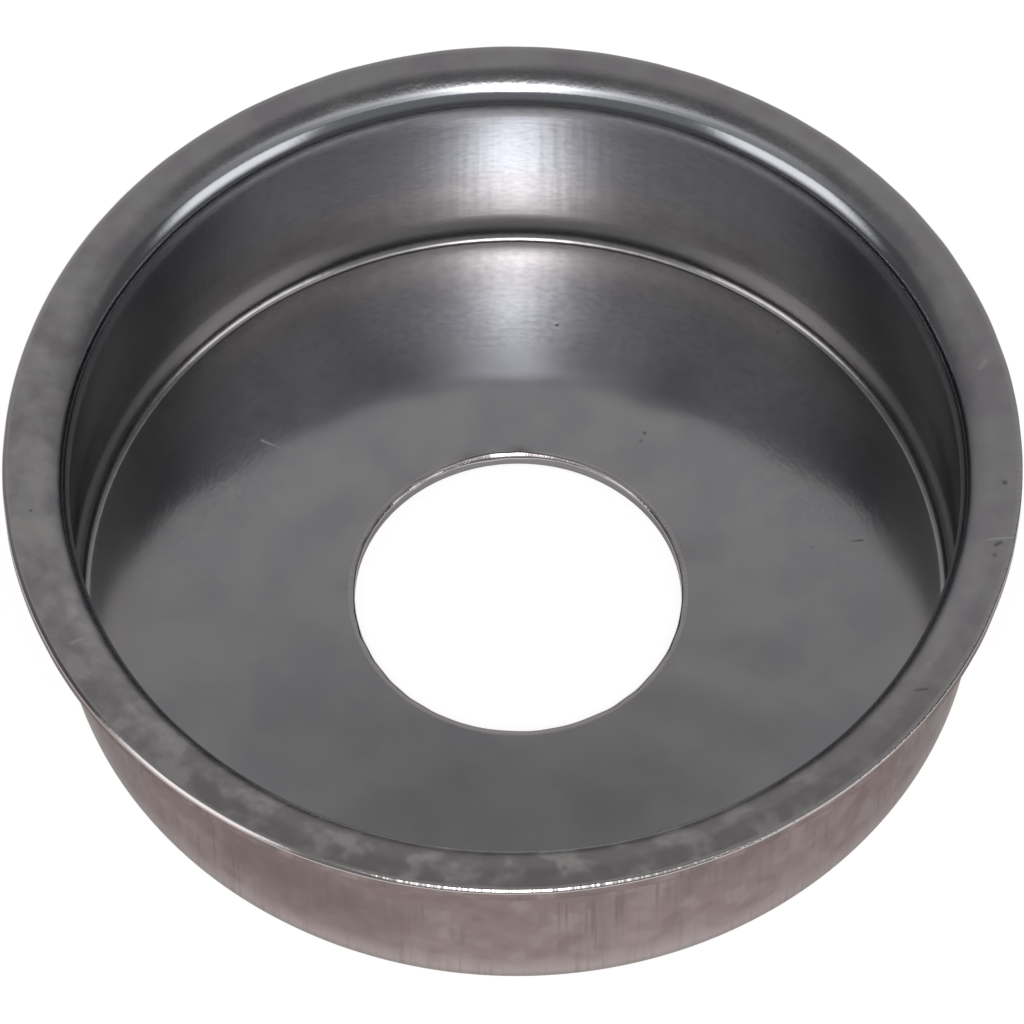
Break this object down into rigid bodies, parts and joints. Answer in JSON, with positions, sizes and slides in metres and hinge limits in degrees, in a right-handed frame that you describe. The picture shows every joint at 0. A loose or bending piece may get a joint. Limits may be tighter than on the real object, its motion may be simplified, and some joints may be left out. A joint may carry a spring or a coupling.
{
  "type": "turbo heat shield",
  "caption": "Round deep-drawn sheet-steel cup with a flat outer flange and a central shaft bore, which shields a turbocharger's bearing housing from the turbine's heat.",
  "frame": {"origin": "on the bore's axis at the underside of the floor, which the part rests on", "axes": "+Z along the bore axis, out of the open mouth"},
  "size_m": [0.08, 0.08, 0.0205],
  "materials": {
    "sheet_steel": "as-drawn stainless sheet, satin outside and half-bright inside, with a matte flange"
  },
  "bodies": {
    "root": {"heat_shield": "sheet_steel"}
  },
  "joints": []
}
